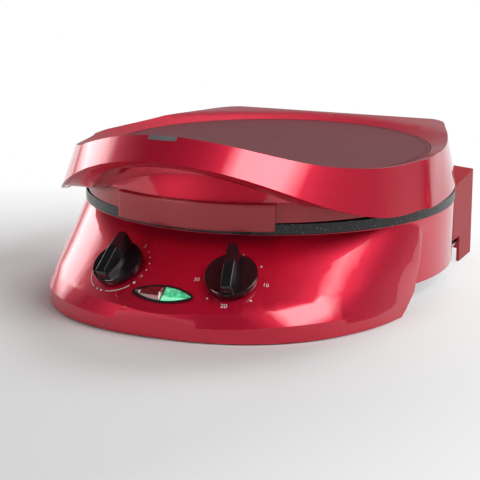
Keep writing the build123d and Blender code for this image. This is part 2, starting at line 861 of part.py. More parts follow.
with BuildPart() as neon_lamps:
    lamp_plane = holder_plane.offset(-pocket_drop + lamp_radius)
    across = Plane(origin=lamp_plane.origin, x_dir=lamp_plane.y_dir, z_dir=lamp_plane.x_dir)
    for side in (-1, 1):
        with BuildSketch(across.offset(side * lamp_pitch / 2 - lamp_length / 2)):
            Circle(lamp_radius - slip_gap)
        extrude(amount=lamp_length)

# ---------------------------------------------------------------- lid forms
lid_slant = hypot(1, (lid_low.reach - lid_high.reach) / (lid_high_height - lid_low_height))


def lid_outline(height, plan, flank, shoulder, tail, inset):
    """Plan outline of the lid: nose, flanks drawn in, rounded corners and a short straight back."""
    corner = (shoulder[0] - inset, shoulder[1])
    back = (tail[0] - inset, tail[1] - inset)
    with BuildSketch(level(height)) as outline:
        with BuildLine():
            nose = Spline(*nose_points(plan, inset, lid_slant), tangents=((1, 0), (0, 1)))
            side = Spline(nose @ 1, (flank[0] - inset, flank[1]), corner, tangents=((0, 1), corner_heading))
            Spline(side @ 1, back, tangents=(corner_heading, back_heading))
            Line(back, (0, back[1]))
            mirror(about=Plane.YZ)
        make_face()
    return outline.sketch


def lid_walls(inset, drop=0.0):
    """Space inside the lid's outer walls, moved inwards by inset, closed by two level planes."""
    with BuildPart() as walls:
        loft(sections=[
            lid_outline(lid_low_height - drop, lid_low, lid_low_flank, lid_low_shoulder, lid_low_tail, inset),
            lid_outline(lid_high_height, lid_high, lid_high_flank, lid_high_shoulder, lid_high_tail, inset)],
            ruled=True)
    return walls.part


def below_profile(profile, shift, floor):
    """Everything between a floor and a side profile moved up by shift."""
    points = [(y, height + shift) for y, height in profile]
    with BuildPart() as block:
        with BuildSketch(side_plane(-big / 2)):
            with BuildLine():
                Spline(*points)
                Polyline(points[-1], (points[-1][0], floor), (points[0][0], floor), points[0])
            make_face()
        extrude(amount=big)
    return block.part


def recess_oval(plan, growth):
    """Superellipse in front of the axis and a half circle behind it."""
    with BuildSketch() as oval:
        with BuildLine():
            Spline(*nose_points(plan, -growth), tangents=((1, 0), (0, 1)))
            CenterArc((0, 0), plan.half_width + growth, 0, 90)
            mirror(about=Plane.YZ)
        make_face()
    return oval.sketch


def recess_form(growth):
    """Hollow in the lid's top: a round well, then flaring ovals out to the crest."""
    with BuildPart() as hollow:
        with BuildSketch(level(recess_floor - growth)):
            Circle(recess_radius + growth)
        extrude(amount=top_panel_thickness)
        with BuildSketch(level(recess_floor - growth + top_panel_thickness)):
            Circle(recess_radius + growth)
        with BuildSketch(level(recess_mid_height - growth)):
            add(recess_oval(recess_mid, growth))
        loft(ruled=True)
        with BuildSketch(level(recess_mid_height - growth)):
            add(recess_oval(recess_mid, growth))
        with BuildSketch(level(recess_top_height)):
            add(recess_oval(recess_top, growth))
        loft(ruled=True)
    return hollow.part



# ---------------------------------------------------------------- lid shell and what sits in it
lid_post_x = lid_post_circle * cos(radians(lid_post_angle))
lid_post_y = lid_post_circle * sin(radians(lid_post_angle))
lid_posts = [(side * lid_post_x, end * lid_post_y) for side in (-1, 1) for end in (-1, 1)]
arm_posts = [(side * hinge_x, arm_post_y) for side in (-1, 1)]
lid_post_foot = collar_shelf_height + collar_shelf_thickness + lid_shield_thickness
arm_post_foot = web_height + web_thickness
hinge_half_width = hinge_block_width / 2 + hinge_side_gap + cheek_thickness
hinge_cut_width = 2 * (hinge_half_width + pin_head_thickness + hinge_cut_gap)
table = 0.0

with BuildPart() as lid_outer:
    add(lid_walls(0))
    add(below_profile(crest_profile, 0, table), mode=Mode.INTERSECT)
    add(below_profile(skirt_profile, 0, table), mode=Mode.SUBTRACT)
    add(recess_form(0), mode=Mode.SUBTRACT)

with BuildPart() as lid_cavity:
    add(lid_walls(lid_wall, drop=1))
    add(below_profile(crest_profile, -lid_wall, table), mode=Mode.INTERSECT)
    add(recess_form(lid_wall), mode=Mode.SUBTRACT)
    with BuildSketch(level(lid_post_foot)):
        with Locations(*lid_posts):
            Circle(lid_post_radius)
    extrude(amount=big, mode=Mode.SUBTRACT)
    with BuildSketch(level(arm_post_foot)):
        with Locations(*arm_posts):
            Circle(arm_post_radius)
    extrude(amount=big, mode=Mode.SUBTRACT)

crest_height = lid_outer.part.bounding_box().max.Z
crest_front = lid_outer.part.faces().sort_by(Axis.Z)[-1].bounding_box().min.Y


def insert_block(gap):
    """Block round the middle of the crest."""
    with BuildPart() as block:
        with BuildSketch(Plane.XY.offset(crest_height - insert_height - gap)):
            with Locations((0, crest_front)):
                Rectangle(insert_width + 2 * gap, insert_depth + 2 * gap)
        extrude(amount=big)
    return block.part


with BuildPart() as lid_shell:
    add(lid_outer.part)
    add(lid_cavity.part, mode=Mode.SUBTRACT)
    add(insert_block(insert_gap), mode=Mode.SUBTRACT)
    with BuildSketch(level(0)):
        Circle(recess_radius - lid_ledge)
    extrude(amount=big, mode=Mode.SUBTRACT)
    with BuildSketch(level(lid_post_foot)):
        with Locations(*lid_posts):
            Circle(screw_radius + screw_gap)
    extrude(amount=screw_bite, mode=Mode.SUBTRACT)
    with BuildSketch(level(arm_post_foot)):
        with Locations(*arm_posts):
            Circle(screw_radius + screw_gap)
    extrude(amount=arm_screw_bite, mode=Mode.SUBTRACT)
    with BuildSketch(Plane((0, drum_y + hinge_y, 0))):
        with Locations((-hinge_x, 0), (hinge_x, 0)):
            Rectangle(hinge_cut_width, 2 * hinge_block_radius)
    extrude(amount=arm_post_foot + hinge_cut_rise, mode=Mode.SUBTRACT)

with BuildPart() as visor_insert:
    add(lid_outer.part)
    add(lid_cavity.part, mode=Mode.SUBTRACT)
    add(insert_block(0), mode=Mode.INTERSECT)

with BuildPart() as lid_top_panel:
    with BuildSketch(level(recess_floor)):
        Circle(recess_radius - top_panel_gap)
    extrude(amount=top_panel_thickness)

# ---------------------------------------------------------------- collar, guard and finger recess
lid_taper = (lid_low.half_width - lid_high.half_width) / (lid_high_height - lid_low_height)


def collar_form(growth, low, high):
    """Oval body of the collar, drawn in at the sides as the lid's walls are."""
    half_width = lid_low.half_width - lid_wall - collar_side_gap + growth
    reach = collar_reach + growth
    with BuildPart() as body:
        loft(sections=[oval_plan(height, half_width - lid_taper * (height - lid_low_height), reach)
                       for height in (low, high)], ruled=True)
    return body.part


collar_outer = collar_form(0, collar_foot_height, collar_top_height)

with BuildPart() as collar_shelf:
    add(collar_outer)
    add(slab(collar_shelf_height, collar_shelf_height + collar_shelf_thickness), mode=Mode.INTERSECT)
    with BuildSketch(level(collar_shelf_height)):
        Circle(collar_shelf_radius)
    extrude(amount=collar_shelf_thickness, mode=Mode.SUBTRACT)

with BuildPart() as lid_collar:
    add(collar_outer)
    add(collar_form(-collar_wall, collar_foot_height, collar_top_height), mode=Mode.SUBTRACT)
    add(collar_shelf.part)
    with BuildSketch(level(collar_shelf_height)):
        with Locations(*lid_posts):
            Circle(screw_radius + hole_gap)
    extrude(amount=collar_shelf_thickness, mode=Mode.SUBTRACT)

with BuildPart() as front_guard:
    add(collar_form(guard_gap + guard_thickness, guard_foot_height, collar_top_height))
    add(collar_form(guard_gap, guard_foot_height, collar_top_height - guard_flange), mode=Mode.SUBTRACT)
    add(collar_form(slip_gap, guard_foot_height, collar_top_height), mode=Mode.SUBTRACT)
    with BuildSketch(level(0)):
        Rectangle(2 * guard_half_width, big, align=(Align.CENTER, Align.MAX))
    extrude(amount=big, mode=Mode.INTERSECT)


def vault(growth):
    """Round-topped tunnel that forms the ceiling of the finger recess."""
    rise = radians(vault_rise)
    along = (0, -cos(rise), sin(rise))
    mouth = Plane(origin=(0, drum_y - vault_reach, vault_height), x_dir=(1, 0, 0), z_dir=along)
    with BuildPart() as tunnel:
        with BuildSketch(mouth.offset(-big / 4)):
            with Locations((0, -vault_radius)):
                Circle(vault_radius + growth)
        extrude(amount=big / 2)
    return tunnel.part


def recess_core(shrink):
    """Upright body of the lid behind the finger recess, its front leaning forward."""
    with BuildPart() as core:
        loft(sections=[oval_plan(recess_core_height, lid_low.half_width, scoop_reach - shrink),
                       oval_plan(recess_top_height, lid_low.half_width, vault_reach - wall_lean - shrink)],
             ruled=True)
    return core.part


def recess_air(growth):
    """Space under the visor, in front of the collar, grown on all sides."""
    with BuildPart() as air:
        add(vault(growth))
        add(below_profile(skirt_profile, growth, table))
        add(recess_core(growth), mode=Mode.SUBTRACT)
    return air.part


with BuildPart() as handle_scoop:
    add(lid_walls(lid_wall + lid_gap, drop=1))
    add(slab(collar_top_height, crest_height - lid_wall - insert_height), mode=Mode.INTERSECT)
    with BuildSketch(level(0)):
        with Locations((0, -scoop_start)):
            Rectangle(big, big, align=(Align.CENTER, Align.MAX))
    extrude(amount=big, mode=Mode.INTERSECT)
    add(recess_air(scoop_thickness), mode=Mode.INTERSECT)
    add(recess_air(0), mode=Mode.SUBTRACT)

# ---------------------------------------------------------------- lid heat shield and element
lid_shield_foot = collar_shelf_height + collar_shelf_thickness

with BuildPart() as upper_heat_shield:
    with BuildSketch(side_plane(0)):
        with BuildLine():
            Polyline((0, lid_shield_flat_height), (lid_shield_flat_radius, lid_shield_flat_height),
                     (lid_shield_slope_radius, lid_shield_foot), (lid_shield_radius, lid_shield_foot),
                     (lid_shield_radius, lid_shield_foot + lid_shield_thickness),
                     (lid_shield_slope_radius + lid_shield_thickness / 2,
                      lid_shield_foot + lid_shield_thickness),
                     (lid_shield_flat_radius + lid_shield_thickness / 2,
                      lid_shield_flat_height + lid_shield_thickness),
                     (0, lid_shield_flat_height + lid_shield_thickness), close=True)
        make_face()
    revolve(axis=Axis((0, drum_y, 0), (0, 0, 1)))
    with BuildSketch(level(lid_shield_foot)):
        with Locations(*lid_posts):
            Circle(screw_radius + hole_gap)
    extrude(amount=lid_shield_thickness, mode=Mode.SUBTRACT)

upper_ends = [(upper_element_circle * cos(radians(a)), upper_element_circle * sin(radians(a)))
              for a in element_ends]

with BuildPart() as upper_element:
    add(open_ring(upper_element_circle, upper_element_radius, upper_element_height, element_open_angle, 90))
    with Locations(*[(x, drum_y + y, upper_element_height) for x, y in upper_ends]):
        Sphere(upper_element_radius)
    with BuildSketch(level(upper_element_height)):
        with Locations(*upper_ends):
            Circle(upper_element_radius)
    extrude(amount=lid_shield_flat_height - upper_element_height)

upper_element_clips = ring_saddles(upper_element_circle, upper_element_radius, upper_element_height,
                                   lid_shield_flat_height)
lid_screws = screws(lid_posts, collar_shelf_height, screw_bite)

# ---------------------------------------------------------------- hinge
web_length = arm_post_y - arm_post_radius


def hinge_plane(x):
    """Side plane with its origin on the hinge axis."""
    return Plane(origin=(x, drum_y + hinge_y, hinge_height), x_dir=(0, 1, 0), z_dir=(1, 0, 0))


def hinge_block(side):
    """Block on the box's roof that holds the pin."""
    with BuildPart() as block:
        with BuildSketch(hinge_plane(side * hinge_x - hinge_block_width / 2)):
            Circle(hinge_block_radius)
            Rectangle(2 * hinge_block_radius, hinge_height - box_top_height, align=(Align.CENTER, Align.MAX))
            Circle(hinge_pin_radius, mode=Mode.SUBTRACT)
        extrude(amount=hinge_block_width)
    return block.part


def hinge_arm(side):
    """Two cheeks on the pin, joined by a web that runs forward under the lid's post."""
    cheek = hinge_block_width / 2 + hinge_side_gap
    eye = hinge_block_radius - hinge_eye_relief
    web = (arm_web_rear - hinge_y, web_height - hinge_height)
    with BuildPart() as arm:
        for start in (-cheek - cheek_thickness, cheek):
            with BuildSketch(hinge_plane(side * hinge_x + start)):
                Circle(eye)
                with Locations(web):
                    Rectangle(arm_web_width, web_thickness, align=(Align.MAX, Align.MIN))
                make_hull()
                Circle(hinge_pin_radius + hinge_fit, mode=Mode.SUBTRACT)
            extrude(amount=cheek_thickness)
        with BuildSketch(Plane((side * hinge_x, drum_y + arm_web_rear, web_height))):
            Rectangle(2 * (cheek + cheek_thickness), arm_web_width, align=(Align.CENTER, Align.MAX))
            Rectangle(2 * arm_post_radius, arm_web_rear - web_length, align=(Align.CENTER, Align.MAX))
        extrude(amount=web_thickness)
        with BuildSketch(Plane((side * hinge_x, drum_y + arm_post_y, web_height))):
            Circle(screw_radius + hole_gap)
        extrude(amount=web_thickness, mode=Mode.SUBTRACT)
    return arm.part


def hinge_pin(side):
    """Pin through the block and both cheeks, with a head at each end."""
    with BuildPart() as pin:
        with BuildSketch(hinge_plane(side * hinge_x - hinge_half_width)):
            Circle(hinge_pin_radius)
        extrude(amount=2 * hinge_half_width)
        for start in (-hinge_half_width - pin_head_thickness, hinge_half_width):
            with BuildSketch(hinge_plane(side * hinge_x + start)):
                Circle(pin_head_radius)
            extrude(amount=pin_head_thickness)
    return pin.part


arm_screws = screws(arm_posts, web_height, web_thickness + arm_screw_bite)

# ---------------------------------------------------------------- files
pieces = {
    "base_housing": base_housing.part,
    "base_plate": base_plate.part,
    "rubber_feet": rubber_feet.part,
    "base_screws": base_screws,
    "pan": pan.part,
    "pan_nuts": pan_nuts.part,
    "lower_heat_shield": lower_heat_shield.part,
    "lower_element": lower_element.part,
    "lower_element_seals": lower_element_seals.part,
    "lower_element_clips": lower_element_clips,
    "thermal_fuse": thermal_fuse.part,
    "fuse_clip": fuse_clip,
    "terminal_block": terminal_block.part,
    "cord_bushing": cord_bushing.part,
    "thermostat_body": control_body(thermostat_plane, thermostat_depth),
    "thermostat_nut": control_nut(thermostat_plane),
    "thermostat_shaft": control_shaft(thermostat_plane, thermostat_depth),
    "thermostat_knob": knob(thermostat_plane, thermostat_depth),
    "timer_body": control_body(timer_plane, timer_depth),
    "timer_nut": control_nut(timer_plane),
    "timer_shaft": control_shaft(timer_plane, timer_depth),
    "timer_knob": knob(timer_plane, timer_depth),
    "indicator_frame": indicator_frame.part,
    "red_lens": lens(-1),
    "green_lens": lens(1),
    "lamp_holder": lamp_holder.part,
    "neon_lamps": neon_lamps.part,
    "lid_shell": lid_shell.part,
    "lid_top_panel": lid_top_panel.part,
    "visor_insert": visor_insert.part,
    "lid_collar": lid_collar.part,
    "front_guard": front_guard.part,
    "handle_scoop": handle_scoop.part,
    "upper_heat_shield": upper_heat_shield.part,
    "upper_element": upper_element.part,
    "upper_element_clips": upper_element_clips,
    "lid_screws": lid_screws,
    "arm_screws": arm_screws,
}
for side, name in ((-1, "left"), (1, "right")):
    pieces[f"hinge_block_{name}"] = hinge_block(side)
    pieces[f"hinge_arm_{name}"] = hinge_arm(side)
    pieces[f"hinge_pin_{name}"] = hinge_pin(side)

for name, piece in pieces.items():
    save(piece, name)
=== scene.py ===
"""Finishes, fine shapes and stage of an electric pie maker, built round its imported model."""
import json
from math import cos, pi, radians, sin, sqrt

import bmesh
import bpy
from bpy.props import FloatProperty, FloatVectorProperty, PointerProperty
from mathutils import Matrix, Vector
from mathutils.bvhtree import BVHTree


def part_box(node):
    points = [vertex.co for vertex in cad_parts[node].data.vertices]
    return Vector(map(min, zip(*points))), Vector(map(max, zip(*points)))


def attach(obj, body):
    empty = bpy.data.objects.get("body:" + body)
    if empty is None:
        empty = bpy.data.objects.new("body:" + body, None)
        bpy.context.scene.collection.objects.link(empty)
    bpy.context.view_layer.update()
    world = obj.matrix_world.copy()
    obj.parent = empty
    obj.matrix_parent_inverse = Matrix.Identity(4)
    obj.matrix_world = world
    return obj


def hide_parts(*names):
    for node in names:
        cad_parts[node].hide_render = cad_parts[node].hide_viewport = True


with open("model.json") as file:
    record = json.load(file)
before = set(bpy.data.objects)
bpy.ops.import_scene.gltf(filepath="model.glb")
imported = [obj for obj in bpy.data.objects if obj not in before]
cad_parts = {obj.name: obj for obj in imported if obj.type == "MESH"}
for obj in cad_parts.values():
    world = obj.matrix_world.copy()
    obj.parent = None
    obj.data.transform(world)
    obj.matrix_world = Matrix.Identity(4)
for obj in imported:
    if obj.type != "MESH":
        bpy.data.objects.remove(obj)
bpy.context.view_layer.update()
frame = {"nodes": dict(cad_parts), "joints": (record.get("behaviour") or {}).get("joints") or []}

bl_info = {
    "name": "Electric Pie Maker",
    "version": (1, 0, 0),
    "blender": (4, 5, 0),
    "location": "View3D > Sidebar > Pie Maker",
    "description": "Paints and details a table-top pie maker",
    "category": "Object",
}

MM = 0.001
NODES = frame["nodes"]
JOINTS = {joint["name"]: joint for joint in frame["joints"]}

# The painted drum, and the box behind it, which is given a darker, duller red
DRUM_Y = JOINTS["lid_hinge"]["pos_m"][1] - 0.170
DRUM_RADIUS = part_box("pan")[1].x - 0.3 * MM
BOX_START = DRUM_Y + 0.066
BOX_ROOF = 0.0797
LENS_MIDDLE = sum(corner.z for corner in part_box("green_lens")) / 2

# The camera: its place, its right hand and the way it looks away from
CAMERA_PLACE = (0.4981, -1.1826, 0.3480)
CAMERA_RIGHT = (0.9165, 0.4000, 0.0)
CAMERA_BACK = (0.3884, -0.8899, 0.2391)

# The floor's lit patch: its middle, and where it starts and ends fading to plain white
LIT_MIDDLE = (-0.15, -0.30, 0.0)
LIT_REACH = (0.28, 0.62)


# ------------------------------------------------------------------ shader sockets and nodes
class Value:
    """A shader socket that can stand in Python sums; each operation adds one Math node."""

    def __init__(self, tree, socket):
        self.tree = tree
        self.socket = socket

    def maths(self, operation, *terms):
        """A Math node fed with values or plain numbers."""
        node = self.tree.nodes.new("ShaderNodeMath")
        node.operation = operation
        for port, term in zip(node.inputs, terms):
            if isinstance(term, Value):
                self.tree.links.new(term.socket, port)
            else:
                port.default_value = term
        return Value(self.tree, node.outputs[0])

    def __add__(self, other):
        return self.maths("ADD", self, other)

    def __sub__(self, other):
        return self.maths("SUBTRACT", self, other)

    def __rsub__(self, other):
        return self.maths("SUBTRACT", other, self)

    def __mul__(self, other):
        return self.maths("MULTIPLY", self, other)

    def __gt__(self, other):
        return self.maths("GREATER_THAN", self, other)

    def __lt__(self, other):
        return self.maths("LESS_THAN", self, other)


class Graph:
    """Nodes of one material or world, added by type."""

    def __init__(self, tree):
        self.tree = tree

    def add(self, kind, settings=None, values=None, output=0):
        """One node: settings first, then the values or links of its sockets."""
        node = self.tree.nodes.new(kind)
        for name, setting in (settings or {}).items():
            setattr(node, name, setting)
        for name, value in (values or {}).items():
            port = node.inputs[name]
            if isinstance(value, Value):
                self.tree.links.new(value.socket, port)
            else:
                port.default_value = value
        return Value(self.tree, node.outputs[output])

    def place(self):
        """Object coordinates."""
        return self.add("ShaderNodeTexCoord", output="Object")

    def blend(self, share, first, second):
        """Mix of two colours."""
        return self.add("ShaderNodeMix", {"data_type": "RGBA"}, {0: share, 6: first, 7: second}, 2)

    def noise(self, scale, detail, rough=0.5, place=None):
        """Cloudy noise from 0 to 1."""
        return self.add("ShaderNodeTexNoise", None,
                        {"Vector": place or self.place(), "Scale": scale, "Detail": detail,
                         "Roughness": rough})

    def cells(self, scale, output="Color"):
        """Voronoi cells; Color is one random colour per cell."""
        return self.add("ShaderNodeTexVoronoi", {"feature": "F1"},
                        {"Vector": self.place(), "Scale": scale}, output)

    def range(self, value, low, high, new_low=0.0, new_high=1.0):
        """A value stretched from one span to another and held inside it."""
        return self.add("ShaderNodeMapRange", None,
                        {"Value": value, "From Min": low, "From Max": high,
                         "To Min": new_low, "To Max": new_high})

    def axis(self, vector, name):
        """One coordinate of a vector: X, Y or Z."""
        return self.add("ShaderNodeSeparateXYZ", None, {0: vector}, name)

    def bump(self, height, distance, strength):
        """Surface normal that follows a height."""
        return self.add("ShaderNodeBump", None,
                        {"Height": height, "Distance": distance, "Strength": strength})


def colour(rgb):
    """Colour socket value from three numbers."""
    return (rgb[0], rgb[1], rgb[2], 1.0)


class Finish:
    """One material, built on a principled shader."""

    made = {}

    def __init__(self, name, **constants):
        self.material = bpy.data.materials.new(name)
        self.material.use_nodes = True
        self.graph = Graph(self.material.node_tree)
        self.shader = self.material.node_tree.nodes["Principled BSDF"]
        for socket, value in constants.items():
            self.set(socket.replace("_", " "), value)
        Finish.made[name] = self.material

    def set(self, socket, value):
        """Gives a socket of the shader a plain value or a link."""
        port = self.shader.inputs[socket]
        if isinstance(value, Value):
            self.graph.tree.links.new(value.socket, port)
        else:
            port.default_value = value


# ------------------------------------------------------------------ finishes
def red_paint(look):
    """Gloss metallic red: fine flakes under a clear coat; the rear box gets the darker satin colour,
    little coat and more roughness.
    """
    finish = Finish("red_paint", Metallic=look.metal, Coat_Roughness=look.coat_roughness, Coat_IOR=1.5)
    g = finish.graph
    flake = g.add("ShaderNodeSeparateColor", None, {"Color": g.cells(look.flake_scale)})
    drift = g.noise(9.0, 2.0)
    shade = g.range(flake, 0.55, 1.0) * look.flake_strength + (drift - 0.5) * 0.18
    x, y, z = (g.axis(g.place(), name) for name in "XYZ")
    outside_drum = x * x + (y - DRUM_Y) * (y - DRUM_Y) > DRUM_RADIUS ** 2
    # the rear box outside the drum is given the darker satin colour with little coat and more roughness
    rear_box_share = (y > BOX_START) * (z < BOX_ROOF) * outside_drum
    painted = g.blend(shade, colour(look.red), colour(look.flake))
    finish.set("Coat Weight", 1 - rear_box_share * 0.9)
    finish.set("Base Color", g.blend(rear_box_share * 0.85, painted, colour(look.satin)))
    finish.set("Roughness", g.range(flake, 0.0, 1.0, look.roughness - 0.05, look.roughness + 0.08)
               + rear_box_share * 0.15)
    finish.set("Normal", g.bump(g.noise(230.0, 1.0), 0.00001, 0.35))


def satin_paint(name, shade, flecks, roughness, coat):
    """Moulded brownish red with a soft sheen and a fine grain."""
    finish = Finish(name, Metallic=0.25, Coat_Weight=coat, Coat_Roughness=0.2)
    g = finish.graph
    grain = g.noise(1500.0, 3.0)
    drift = g.noise(14.0, 3.0)
    finish.set("Base Color", g.blend(g.range(grain, 0.4, 0.75) * 0.3 + g.range(drift, 0.3, 0.8) * 0.15,
                                     colour(shade), colour(flecks)))
    finish.set("Roughness", g.range(drift, 0.3, 0.7, roughness - 0.04, roughness + 0.05))
    finish.set("Normal", g.bump(grain, 0.00003, 0.5))


def speckled_coating(look):
    """Black non-stick coat with large and small white specks scattered in it."""
    finish = Finish("speckled_coating", Coat_Weight=0.1, Coat_Roughness=0.2)
    g = finish.graph
    specks = 0.0
    for scale, size, share in ((look.speck_scale, 0.23, 0.66), (look.speck_scale * 2.3, 0.2, 0.7)):
        chance = g.add("ShaderNodeSeparateColor", None, {"Color": g.cells(scale)})
        specks = (g.cells(scale, "Distance") < size) * (chance > share) + specks
    mask = g.range(specks, 0.0, 1.0)
    tone = g.noise(90.0, 4.0)
    ground = g.blend(tone, (0.002, 0.002, 0.0025, 1), (0.008, 0.008, 0.009, 1))
    finish.set("Base Color", g.blend(mask * 0.5, ground, (0.4, 0.4, 0.4, 1)))
    finish.set("Roughness", g.range(tone, 0.3, 0.7, 0.3, 0.42))
    finish.set("Normal", g.bump(g.noise(1800.0, 3.0), 0.00004, 0.6))


def gloss_black(name, shade, roughness):
    """Moulded gloss black with faint handling marks."""
    finish = Finish(name, Coat_Weight=0.35, Coat_Roughness=0.06)
    g = finish.graph
    smudge = g.noise(60.0, 4.0)
    finish.set("Base Color", g.blend(smudge, colour(shade), colour([c * 1.8 for c in shade])))
    finish.set("Roughness", g.range(smudge, 0.35, 0.7, roughness, roughness + 0.09))
    finish.set("Normal", g.bump(g.noise(900.0, 2.0), 0.000008, 0.4))


def moulded(name, shade, roughness, grain_scale=1100.0, coat=0.0):
    """Plain moulded plastic, rubber or ceramic with a fine grain."""
    finish = Finish(name, Coat_Weight=coat)
    g = finish.graph
    grain = g.noise(grain_scale, 4.0)
    tone = g.noise(35.0, 2.0)
    finish.set("Base Color", g.blend(tone, colour([c * 0.82 for c in shade]), colour(shade)))
    finish.set("Roughness", g.range(tone, 0.3, 0.7, roughness - 0.05, roughness + 0.06))
    finish.set("Normal", g.bump(grain, 0.00004, 0.5))


def bare_metal(name, shade, roughness, stain, stained=0.25):
    """Sheet or turned metal with a faint direction and a few darker stains."""
    finish = Finish(name, Metallic=1.0)
    g = finish.graph
    stretched = g.add("ShaderNodeMapping", None, {"Vector": g.place(), "Scale": (40.0, 900.0, 900.0)})
    lines = g.noise(1.0, 3.0, 0.6, stretched)
    patches = g.range(g.noise(26.0, 4.0), 0.5, 0.72)
    finish.set("Base Color", g.blend(patches * stained, colour(shade), colour(stain)))
    finish.set("Roughness", g.range(lines, 0.3, 0.7, roughness - 0.06, roughness + 0.08) + patches * 0.08)
    finish.set("Normal", g.bump(lines, 0.000015, 0.4))


def lit_lens(name, deep, pale, reflection_tint, glow, strength):
    """Translucent lens: clouded colour, a paler bottom facet that is a painted reflection, and a glow from
    the lamp underneath that is painted stronger on that facet.
    """
    finish = Finish(name, Coat_Weight=1.0, Coat_Roughness=0.04, Emission_Strength=strength)
    g = finish.graph
    cloud = g.range(g.noise(240.0, 3.0), 0.35, 0.7)
    # painted reflection: the lens under its middle is painted paler and glows more, standing in for the
    # bright floor and left window mirrored there
    reflection_mask = g.range(g.axis(g.place(), "Z"), LENS_MIDDLE + 0.3 * MM, LENS_MIDDLE - 0.3 * MM)
    body = g.blend(cloud, colour(deep), colour(pale))
    # the glow is full where the lens is clouded and on the bottom facet, where it is part of the painted
    # reflection
    clear = cloud.maths("MAXIMUM", cloud, reflection_mask)
    finish.set("Base Color", g.blend(reflection_mask * 0.85, body, colour(reflection_tint)))
    finish.set("Emission Color", g.blend(clear, colour([c * 0.3 for c in glow]), colour(glow)))
    finish.set("Roughness", g.range(cloud, 0.0, 1.0, 0.08, 0.2))
    finish.set("Normal", g.bump(g.noise(420.0, 2.0), 0.00010, 0.5))


def print_ink():
    """White printed marks, slightly worn."""
    finish = Finish("print_ink")
    g = finish.graph
    worn = g.range(g.noise(1400.0, 2.0), 0.3, 0.55)
    finish.set("Base Color", g.blend(worn, (0.72, 0.66, 0.68, 1), (0.93, 0.92, 0.92, 1)))
    finish.set("Roughness", g.range(worn, 0.0, 1.0, 0.5, 0.38))


def make_finishes(settings):
    """Every finish of the object, by name."""
    red_paint(settings.paint)
    satin_paint("satin_red", settings.paint.satin, (0.42, 0.10, 0.11), 0.33, 0.2)
    satin_paint("top_panel_red", settings.paint.top, (0.26, 0.08, 0.09), 0.4, 0.1)
    speckled_coating(settings.pan)
    gloss_black("knob_black", (0.006, 0.006, 0.007), 0.16)
    gloss_black("bezel_black", (0.008, 0.008, 0.009), 0.25)
    moulded("grey_plastic", (0.17, 0.165, 0.17), 0.48)
    moulded("foot_rubber", (0.03, 0.03, 0.03), 0.8)
    moulded("black_plastic", (0.024, 0.024, 0.026), 0.5)
    moulded("ceramic", (0.82, 0.79, 0.72), 0.35, 400.0, 0.4)
    moulded("hinge_black", (0.022, 0.021, 0.022), 0.45)
    bare_metal("zinc_steel", (0.62, 0.62, 0.64), 0.36, (0.42, 0.4, 0.36))
    bare_metal("screw_steel", (0.58, 0.58, 0.6), 0.3, (0.35, 0.33, 0.3))
    bare_metal("shield_steel", (0.7, 0.7, 0.7), 0.24, (0.42, 0.36, 0.28), 0.5)
    bare_metal("shaft_steel", (0.62, 0.62, 0.64), 0.26, (0.4, 0.4, 0.4))
    bare_metal("hinge_steel", (0.03, 0.03, 0.032), 0.42, (0.06, 0.05, 0.05))
    bare_metal("element_sheath", (0.2, 0.19, 0.17), 0.42, (0.07, 0.06, 0.06), 0.8)
    bare_metal("brass_parts", (0.72, 0.54, 0.24), 0.3, (0.4, 0.3, 0.15))
    # the third colour of each lens is the painted reflection on its bottom facet; the red lens's faint
    # glow is painted light, as its lamp is off
    lit_lens("red_lens", (0.12, 0.004, 0.008), (0.24, 0.012, 0.02), (0.62, 0.45, 0.46),
             (0.3, 0.05, 0.05), 0.1)
    lit_lens("green_lens", (0.0, 0.32, 0.12), (0.2, 0.8, 0.5), (0.45, 0.95, 0.7), (0.1, 0.9, 0.42), 0.5)
    lit_lens("lamp_glass", (0.5, 0.3, 0.2), (0.9, 0.7, 0.6), (0.9, 0.8, 0.7), (1.0, 0.35, 0.1), 0.2)
    print_ink()


# ------------------------------------------------------------------ meshes
def finish_piece(bm, name, body, finish, replaced=(), sharp=30.0, even=False):
    """Makes a piece of a bmesh: smooth but for edges sharper than sharp degrees."""
    mesh = bpy.data.meshes.new(name)
    bm.normal_update()
    bm.to_mesh(mesh)
    bm.free()
    mesh.materials.append(Finish.made[finish])
    mesh.shade_smooth()
    mesh.set_sharp_from_angle(angle=radians(sharp))
    piece = bpy.data.objects.new(name, mesh)
    bpy.context.scene.collection.objects.link(piece)
    if even:
        weighting = piece.modifiers.new("even_normals", "WEIGHTED_NORMAL")
        weighting.mode = "FACE_AREA_WITH_ANGLE"
        weighting.keep_sharp = True
    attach(piece, body)
    if replaced:
        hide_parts(*replaced)


def merged_copy(node):
    """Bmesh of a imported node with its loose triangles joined."""
    bm = bmesh.new()
    bm.from_mesh(NODES[node].data)
    for face in bm.faces:
        face.material_index = 0
    bmesh.ops.remove_doubles(bm, verts=bm.verts, dist=2e-6)
    bmesh.ops.dissolve_degenerate(bm, edges=bm.edges, dist=1e-6)
    return bm


def round_edges(bm, width, angle=28.0, segments=2, keep=None):
    """Rounds the sharp edges of a bmesh, or those that keep lets through."""
    chosen = [edge for edge in bm.edges
              if edge.is_manifold and edge.calc_face_angle(0.0) > radians(angle)
              and (keep is None or keep(edge))]
    bmesh.ops.bevel(bm, geom=chosen, offset=width, offset_type="OFFSET", affect="EDGES",
                    segments=segments, profile=0.5, material=-1, clamp_overlap=True)


def softened(node, name, body, finish, width):
    """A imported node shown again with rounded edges."""
    bm = merged_copy(node)
    round_edges(bm, width)
    finish_piece(bm, name, body, finish, (node,), 32.0, even=True)


